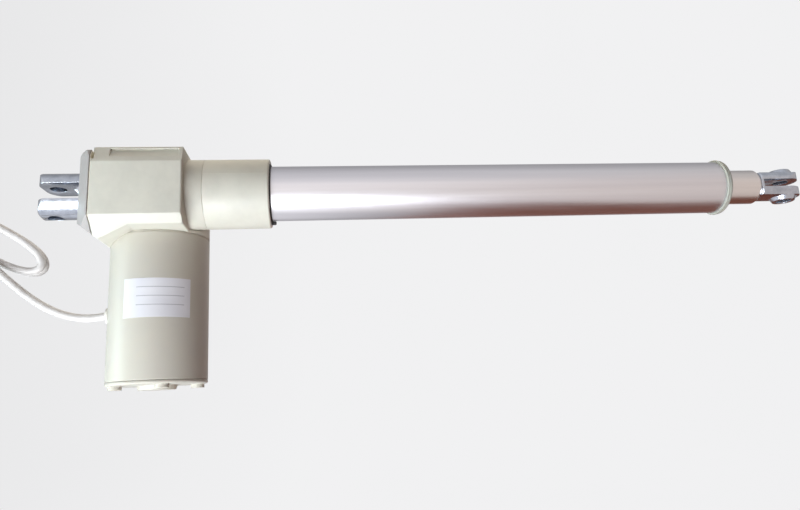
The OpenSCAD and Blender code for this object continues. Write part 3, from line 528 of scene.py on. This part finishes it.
def tube_collar():
    x0, x1, r = span("tube_collar")
    tube_r = span("outer_tube")[2]
    bore, mouth = tube_r + 0.02 * MM, tube_r + 2.2 * MM
    rows = [(x0, bore, 0), (x0, r, 0.35 * MM), (x1, r, 1.1 * MM), (x1, mouth, 0.4 * MM),
            (x1 - 5 * MM, mouth, 0.2 * MM), (x1 - 5 * MM, bore, 0)]
    bm = bmesh.new()
    add_lathe(bm, rows, steps=160)
    line = 0.18 * MM
    ridge = ((-1, -2), (-0.3, 0.6), (0.3, 0.6), (1, -2))     # section of a parting line, in its own width
    for angle in (18, 198):
        a = math.radians(angle)
        middle = Vector((0, -r * math.cos(a), r * math.sin(a)))
        out = middle.normalized()
        across = out.cross(X_AXIS)
        ends = [middle + i * line * across + j * line * out for i, j in ridge]
        loops = [[bm.verts.new(p + X_AXIS * x) for p in ends] for x in (x0 + 1 * MM, x1 - 2 * MM)]
        for k in range(4):
            m = (k + 1) % 4
            bm.faces.new((loops[0][k], loops[0][m], loops[1][m], loops[1][k]))
        bm.faces.new(loops[0])
        bm.faces.new(loops[1])
    stand_for(to_object("tube_collar_form", bm), "tube_collar")


def tube_seal():
    """Rubber lip in the collar's mouth, with the tab that pulls it out."""
    x0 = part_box("tube_seal")[0].x
    mouth_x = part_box("tube_collar")[1].x
    tube_r = span("outer_tube")[2]
    bore, outer, lip_x = tube_r + 0.02 * MM, tube_r + 2.1 * MM, mouth_x + 0.8 * MM
    rows = [(x0, bore, 0), (x0, outer, 0.3 * MM), (mouth_x - 0.6 * MM, outer, 0.4 * MM),
            (lip_x, bore + 0.8 * MM, 0.3 * MM), (lip_x, bore, 0)]
    bm = bmesh.new()
    add_lathe(bm, rows)
    lean, reach = math.radians(12), tube_r + 1.35 * MM
    tab = (reach * math.sin(lean), -reach * math.cos(lean))
    tab_r = 1.25 * MM
    tab_x0, tab_x1 = mouth_x + 0.02 * MM, mouth_x + 3 * MM
    add_lathe(bm, [(tab_x0, 0, 0), (tab_x0, tab_r, 0.2 * MM), (tab_x1, tab_r, 0.8 * MM), (tab_x1, 0, 0)],
              centre=tab, steps=24)
    stand_for(to_object("tube_seal_form", bm), "tube_seal")


def front_cap():
    x0, x1, lip = span("front_cap")
    tube_r = span("outer_tube")[2]
    tube_end = span("outer_tube")[1]
    bush_x0, bush_x1, bush_r = span("guide_bush")
    rod_r = span("inner_tube")[2]
    spigot = tube_r - TUBE_WALL - RUN_GAP
    wiper_r = rod_r + 2.4 * MM
    throat = rod_r + 0.15 * MM
    groove = lip - 0.4 * MM
    rows = [(x0, bush_r, 0.1 * MM), (x0, spigot, 0.3 * MM), (tube_end, spigot, 0),
            (tube_end, lip, 0.35 * MM), (tube_end + 1.05 * MM, lip, 0.15 * MM),
            (tube_end + 1.2 * MM, groove, 0.05 * MM), (tube_end + 1.5 * MM, groove, 0.05 * MM),
            (tube_end + 1.65 * MM, lip - 0.2 * MM, 0.1 * MM), (x1, lip - 0.25 * MM, 2.1 * MM),
            (x1, wiper_r, 0.3 * MM), (x1 - WIPER_W, wiper_r, 0),
            (x1 - WIPER_W, throat, 0.1 * MM), (bush_x1, throat, 0), (bush_x1, bush_r, 0)]
    stand_for(lathe("front_cap_form", rows, steps=180), "front_cap")


def rod_wiper():
    x0, x1, r = span("rod_wiper")
    bore = span("inner_tube")[2] + RUN_GAP
    rows = [(x0, bore, 0), (x0, r, 0.2 * MM), (x1 - 1 * MM, r, 0.3 * MM),
            (x1 - 0.6 * MM, bore + 1.3 * MM, 0.3 * MM), (x1, bore + 0.7 * MM, 0.2 * MM), (x1, bore, 0)]
    stand_for(lathe("rod_wiper_form", rows), "rod_wiper")


def motor_axis():
    lo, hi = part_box("motor_cover")
    return (lo.x + hi.x) / 2, (lo.y + hi.y) / 2


def motor_cover():
    lo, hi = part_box("motor_cover")
    r = (hi.x - lo.x) / 2
    bore = r - 2.2 * MM
    rows = [(lo.z, bore, 0.2 * MM), (lo.z, r, 0.35 * MM), (hi.z - 1.3 * MM, r, 0.5 * MM),
            (hi.z - 1.2 * MM, r - 0.5 * MM, 0), (hi.z, r - 0.5 * MM, 0.15 * MM), (hi.z, bore, 0.15 * MM)]
    stand_for(lathe("motor_cover_form", rows, "Z", motor_axis(), 192), "motor_cover")


for make in (outer_tube, inner_tube, tube_collar, tube_seal, front_cap, rod_wiper, motor_cover):
    make()


# ---------------------------------------------------------------- castings and mouldings

for node, width in (("rear_clevis", 0.5 * MM), ("front_clevis", 0.5 * MM), ("gear_housing", 0.4 * MM),
                    ("rear_cover", 0.5 * MM), ("cover_base", 0.25 * MM), ("cable_plug", 0.6 * MM)):
    softened(node, width)


# ---------------------------------------------------------------- threads

def spindle():
    """The spindle, with the real two-start helix in place of the CAD's plain rings."""
    x0, x1, seat_r = span("spindle")
    crest = 7 * MM
    root = crest - 1.5 * MM
    low = root - RUN_GAP
    thread_start, thread_stop = x0 + 54.5 * MM, x1 - 8 * MM
    bearing = span("front_bearing_inner")
    bm = bmesh.new()
    add_thread(bm, (thread_start, thread_stop), root, crest, 3 * MM, 2, (0.52 * MM, 1.05 * MM))
    journal_r, collar_r, end_r, groove_r = 6 * MM, 7.5 * MM, 5 * MM, 4.4 * MM
    seat_x = x0 + 14.5 * MM
    collar_x0, collar_x1 = bearing[0] - 1 * MM, bearing[1] + 1 * MM
    groove_x0, groove_x1 = x1 - 1.9 * MM, x1 - 0.8 * MM
    rows = [(x0, 0, 0), (x0, journal_r, 0.5 * MM), (seat_x, journal_r, 0.2 * MM),
            (seat_x, seat_r, 0.4 * MM), (collar_x0, seat_r, 0.4 * MM),
            (collar_x0, collar_r, 0.2 * MM), (collar_x1, collar_r, 0.3 * MM),
            (collar_x1 + 0.6 * MM, low, 0.1 * MM), (thread_stop + 0.5 * MM, low, 0.1 * MM),
            (thread_stop + 1 * MM, end_r, 0.1 * MM), (groove_x0, end_r, 0.1 * MM),
            (groove_x0, groove_r, 0), (groove_x1, groove_r, 0), (groove_x1, end_r, 0.1 * MM),
            (x1, end_r, 0.4 * MM), (x1, 0, 0)]
    add_lathe(bm, rows, steps=96)
    stand_for(to_object("spindle_form", bm, 25), "spindle")


def worm():
    lo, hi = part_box("worm")
    module, bore = 1.25 * MM, 2.5 * MM
    pitch = math.pi * module
    crest = (hi.x - lo.x) / 2
    pitch_r = crest - module
    root = pitch_r - 1.2 * module
    slope = math.tan(math.radians(20))
    half = pitch / 4 - 0.12 * MM
    halves = (half - module * slope, half + 1.2 * module * slope)
    bm = bmesh.new()
    # A crest faces the wheel, which is on the -Y side, at the middle of the worm
    add_thread(bm, (lo.z, hi.z), root, crest, pitch, 1, halves, "Z", motor_axis(),
               phase=-0.75 * pitch, steps=48)
    core = [(lo.z, bore, 0), (lo.z, root, 0), (hi.z, root, 0), (hi.z, bore, 0)]
    add_lathe(bm, core, "Z", motor_axis(), 48)
    stand_for(to_object("worm_form", bm, 25), "worm")


spindle()
worm()


# ---------------------------------------------------------------- cable, strap, springs and windings

CABLE_R = 2.5 * MM
HANK_HALF, HANK_WIDE, HANK_STEP, HANK_TURNS = 46 * MM, 10 * MM, 5.8 * MM, 2
HANK_TILT = math.radians(30)
HANK_DIR = Vector((-math.cos(HANK_TILT), 0, math.sin(HANK_TILT)))
HANK_LOW = Vector((-math.sin(HANK_TILT), 0, -math.cos(HANK_TILT)))
HANK_TIP = Vector((-17.5 * MM, 0, -40 * MM))          # near end of the hank, in the motor's plane


def hank_point(turn, centre):
    """Point on the coiled cable after so many turns: a long loop that steps sideways."""
    a = math.tau * turn
    along = math.copysign(abs(math.sin(a)) ** 0.55, math.sin(a))
    sideways = HANK_LOW * HANK_WIDE * math.cos(a) + Y_AXIS * HANK_STEP * turn
    return centre + HANK_DIR * HANK_HALF * along + sideways


def evened(path, gap):
    """The same path with its points spaced evenly."""
    out, left = [path[0]], gap
    for a, b in zip(path, path[1:]):
        length = (b - a).length
        at = left
        while at <= length:
            out.append(a.lerp(b, at / length))
            at += gap
        left = at - length
    return out + [path[-1]]


def smoothed(path, passes):
    for _ in range(passes):
        path = [path[0]] + [(a + 2 * b + c) / 4 for a, b, c in zip(path, path[1:], path[2:])] + [path[-1]]
    return path


def power_cable():
    """From inside the motor cover, out through the grommet, round the hank and into the plug."""
    wall_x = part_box("motor_cover")[0].x
    grommet_lo, grommet_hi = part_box("cable_grommet")
    y, z = motor_axis()[1], (grommet_lo.z + grommet_hi.z) / 2
    centre = HANK_TIP + y * Y_AXIS + HANK_DIR * HANK_HALF
    first, last = hank_point(0, centre), hank_point(HANK_TURNS, centre)
    into = Vector((HANK_DIR.x, 0, 0.75 * HANK_DIR.z + 0.2)).normalized()
    outside = Vector((wall_x - 2.5 * MM, y, z))
    sag = (outside, Vector((-12 * MM, y, -83 * MM)), first - 27 * MM * into, first)
    end = last + 60 * MM * HANK_DIR + 8 * MM * HANK_LOW + 2 * MM * Y_AXIS
    tail = (last, last + 20 * MM * HANK_DIR, end - 20 * MM * HANK_DIR, end)
    path = [Vector((wall_x + 2.6 * MM, y, z))] + [bezier(sag, i / 60) for i in range(61)]
    path += [hank_point(i / 240, centre) for i in range(1, 240 * HANK_TURNS)]
    path += [bezier(tail, i / 30) for i in range(31)] + [end + 7 * MM * HANK_DIR]
    path = smoothed(evened(path, 0.8 * MM), 12)
    stand_for(sweep("power_cable_form", path, CABLE_R, 24), "power_cable")


def brush_springs():
    lo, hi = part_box("brush_springs")
    x, y = motor_axis()
    z = (lo.z + hi.z) / 2
    inner, outer, coil_r, wire_r = 16.8 * MM, 22.7 * MM, 2 * MM, 0.3 * MM
    coils, steps = 5, 96
    bm = bmesh.new()
    for side in (-1, 1):
        path = []
        for k in range(steps + 1):
            along, turn = k / steps, math.tau * coils * k / steps
            path.append(Vector((x + side * (inner + (outer - inner) * along),
                                y + coil_r * math.cos(turn), z + coil_r * math.sin(turn))))
        add_sweep(bm, path, wire_r, 10)
    stand_for(to_object("brush_springs_form", bm), "brush_springs")


def rotor_windings():
    """Twelve bundles of enamelled wire through the slots, looped over each end of the core."""
    x, y = motor_axis()
    lo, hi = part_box("rotor_core")
    slots, reach = 12, 5
    wire_r, end_wire_r, overhang = 0.62 * MM, 0.5 * MM, 0.5 * MM
    bm = bmesh.new()
    for i in range(slots):
        a = math.tau * i / slots
        turn = Matrix.Rotation(a, 4, "Z")
        for row in range(4):
            for column in (-1, 0, 1):
                place = turn @ Vector(((13.4 + 1.45 * row) * MM, 1.35 * column * MM, 0))
                ends = [Vector((x + place.x, y + place.y, z)) for z in (lo.z - overhang, hi.z + overhang)]
                add_sweep(bm, ends, wire_r, 8)
        for end, sign in ((lo.z, -1), (hi.z, 1)):
            for wire in range(4):
                path = []
                for k in range(13):
                    arch = math.sin(math.pi * k / 12)
                    b = a + math.tau * reach / slots * k / 12
                    r = (13.2 + 1.5 * wire - 1.2 * arch) * MM
                    rise = (0.4 + (1.1 + 0.45 * wire) * arch) * MM
                    path.append(Vector((x + r * math.cos(b), y + r * math.sin(b), end + sign * rise)))
                add_sweep(bm, path, end_wire_r, 8)
    stand_for(to_object("rotor_windings_form", bm), "rotor_windings")


power_cable()
brush_springs()
rotor_windings()


# ---------------------------------------------------------------- stage, light and camera

def board_light(name, place, aim, size, power, colour=(1, 1, 1)):
    data = bpy.data.lights.new(name, "AREA")
    data.shape = "RECTANGLE"
    data.size, data.size_y = size
    data.energy = power
    data.color = colour
    lamp = bpy.data.objects.new(name, data)
    lamp.location = place
    lamp.rotation_mode = "QUATERNION"
    lamp.rotation_quaternion = (Vector(aim) - Vector(place)).to_track_quat("-Z", "Y")
    lamp.visible_camera = False
    bpy.context.scene.collection.objects.link(lamp)
    return lamp


CAMERA_PLACE = Vector((0.1670, -0.4181, -0.1361))    # from the rear pin hole
CAMERA_YAW, CAMERA_PITCH, CAMERA_ROLL = (math.radians(a) for a in (-6.84, -12.41, -2.95))
CAMERA_LENS = 29.33
FLOOR_DROP = 0.25                                     # floor below the camera
WALL_Y = 1.75


def add_camera():
    data = bpy.data.cameras.new("camera")
    data.sensor_width, data.lens = 36.0, CAMERA_LENS
    data.clip_start, data.clip_end = 0.01, 50
    camera = bpy.data.objects.new("camera", data)
    level = Matrix(((1, 0, 0), (0, 0, -1), (0, 1, 0)))   # looks along +Y, image y down
    turn = Matrix.Rotation(CAMERA_YAW, 3, "Y")
    tilt = Matrix.Rotation(CAMERA_PITCH, 3, "X")
    lean = Matrix.Rotation(CAMERA_ROLL, 3, "Z")
    seen = lean @ tilt @ turn @ level
    pose = (seen.transposed() @ Matrix.Diagonal((1, -1, -1))).to_4x4()
    camera.matrix_world = Matrix.Translation(CAMERA_PLACE) @ pose
    bpy.context.scene.collection.objects.link(camera)
    bpy.context.scene.camera = camera


def add_stage():
    """Pale floor that curves up into a wall. Only the camera sees it, and only from above."""
    floor_z = CAMERA_PLACE.z - FLOOR_DROP
    curve_r, half, near, top = 0.5, 6.0, -6.0, 5.0
    middle = Vector((WALL_Y - curve_r, floor_z + curve_r))
    arc = [middle + curve_r * Vector((math.sin(a), -math.cos(a)))
           for a in (math.radians(90) * i / 16 for i in range(17))]
    profile = [(near, floor_z), *arc, (WALL_Y, top)]
    bm = bmesh.new()
    rows = [[bm.verts.new((x, y, z)) for y, z in profile] for x in (-half, half)]
    for i in range(len(profile) - 1):
        bm.faces.new((rows[0][i], rows[1][i], rows[1][i + 1], rows[0][i + 1]))
    floor = to_object("studio_floor", bm)
    floor.visible_diffuse = floor.visible_glossy = floor.visible_shadow = False
    f = Finish("studio")
    # The floor glows with its own colour instead of taking light, painted darker towards the left as painted
    # shade, with faint random patches.
    left_to_right = f.ramp(f.parts(f.place)["X"], 0, 1, -1.1, 0.1)
    uneven = f.math("ADD", left_to_right, f.ramp(f.noise(1.3), -0.15, 0.15, 0, 1))
    shade = f.mix(uneven, srgb(231, 231, 232), srgb(241, 241, 242))
    f.put(Base_Color=(0, 0, 0, 1), Roughness=1.0, Specular_IOR_Level=0.0)
    from_above = f.node("ShaderNodeNewGeometry").outputs["Backfacing"]    # the faces point down and back
    f.put(Emission_Color=shade, Emission_Strength=1.0, Alpha=from_above)
    floor.data.materials.append(f.material)


def add_card(name, corners, colour):
    """Matt card that only shows in reflections and takes light from what faces it."""
    bm = bmesh.new()
    bm.faces.new([bm.verts.new(p) for p in corners])
    card = to_object(name, bm)
    card.visible_camera = False
    f = Finish(name)
    f.put(Base_Color=f.mix(f.noise(4), colour, scaled(colour, 0.8)), Roughness=0.95)
    card.data.materials.append(f.material)


SEEN_COLOUR = srgb(240, 240, 241)
GREY_LIGHT = (0.265, 0.265, 0.27, 1)
WARM_LIGHT = (0.105, 0.062, 0.046, 1)
WARM_SIDE = (0.93, -0.05, -0.36)
# The surroundings as reflections show them, from straight down (0) to straight up (1)
REFLECTED = ((0.0, (0.42, 0.34, 0.32)), (0.12, (0.52, 0.44, 0.42)), (0.36, (1.15, 1.10, 1.07)),
             (0.62, (1.35, 1.31, 1.29)), (0.80, (1.20, 1.19, 1.20)), (1.0, (0.78, 0.78, 0.80)))
REFLECTED_WARM = (0.86, 0.77, 0.72, 1)                # on the warm side
REFLECTED_WARM_TOP = (0.50, 0.49, 0.48, 1)            # above it
REFLECTED_BACK = (0.44, 0.44, 0.45, 1)                # behind the object
REFLECTED_LEFT = (1.05, 1.05, 1.09, 1)                # low on the left


def height_colours(world, height):
    """Colour of the reflected surroundings at a height from 0 to 1."""
    made = world.node("ShaderNodeValToRGB")
    stops = made.color_ramp.elements
    stops.remove(stops[1])
    for i, (place, colour) in enumerate(REFLECTED):
        stop = stops[0] if i == 0 else stops.new(place)
        stop.position, stop.color = place, (*colour, 1)
    world.feed(made.inputs[0], height)
    return made.outputs[0]


def add_world():
    """Pale to the camera. The light it gives is grey, and warm and dim on the right-hand side."""
    made = bpy.data.worlds.new("studio_world")
    bpy.context.scene.world = made
    made.use_nodes = True
    w = Nodes(made.node_tree)
    direction = w.node("ShaderNodeTexCoord").outputs["Generated"]
    x, y, z = w.parts(direction)
    warmth = w.ramp(w.dot(direction, WARM_SIDE), 0, 1, -0.35, 0.75, smooth=True)

    warm = w.mix(w.ramp(z, 0, 1, 0.3, 0.9, smooth=True), REFLECTED_WARM, REFLECTED_WARM_TOP)
    shown = w.mix(warmth, height_colours(w, w.ramp(z, 0, 1, -1, 1)), warm)
    shown = w.mix(w.ramp(y, 0, 1, -0.1, 0.5, smooth=True), shown, REFLECTED_BACK)
    left = w.ramp(x, 0, 1, 0.06, -0.10, smooth=True)
    low = w.ramp(z, 0, 1, -0.25, -0.6, smooth=True)
    shown = w.mix(w.math("MULTIPLY", left, low), shown, REFLECTED_LEFT)

    ray = w.node("ShaderNodeLightPath").outputs
    lit = w.mix(ray["Is Glossy Ray"], w.mix(warmth, GREY_LIGHT, WARM_LIGHT), shown)
    w.feed(w.tree.nodes["Background"].inputs["Color"], w.mix(ray["Is Camera Ray"], lit, SEEN_COLOUR))


def add_light():
    add_world()
    board_light("key_low", (-0.26, -0.56, -0.80), (0.04, 0, -0.03), (0.8, 0.6), 15, (0.94, 1.0, 1.04))
    board_light("left_soft", (-0.95, -0.12, -0.20), (0.03, 0, -0.06), (0.5, 0.8), 5.5, (0.78, 1.02, 1.06))
    top = board_light("top_soft", (-0.05, 0.25, 1.3), (0.1, 0, 0), (1.6, 0.9), 16, (1.0, 0.93, 0.79))
    behind = board_light("back_soft", (0.3, 1.35, 0.15), (0.2, 0, 0), (1.6, 0.8), 9)
    top.visible_glossy = behind.visible_glossy = False
    # The card's near edge reaches forward only below the middle of the tube
    edge = [(0.27, -0.10), (0.42, -0.10), (0.54, -0.02), (2.2, -0.02), (2.2, 1.6), (0.27, 1.6)]
    add_card("warm_card", [(x, y, -0.25) for x, y in edge], srgb(142, 82, 64))


add_camera()
add_stage()
add_light()
bpy.context.scene.view_settings.view_transform = "Standard"
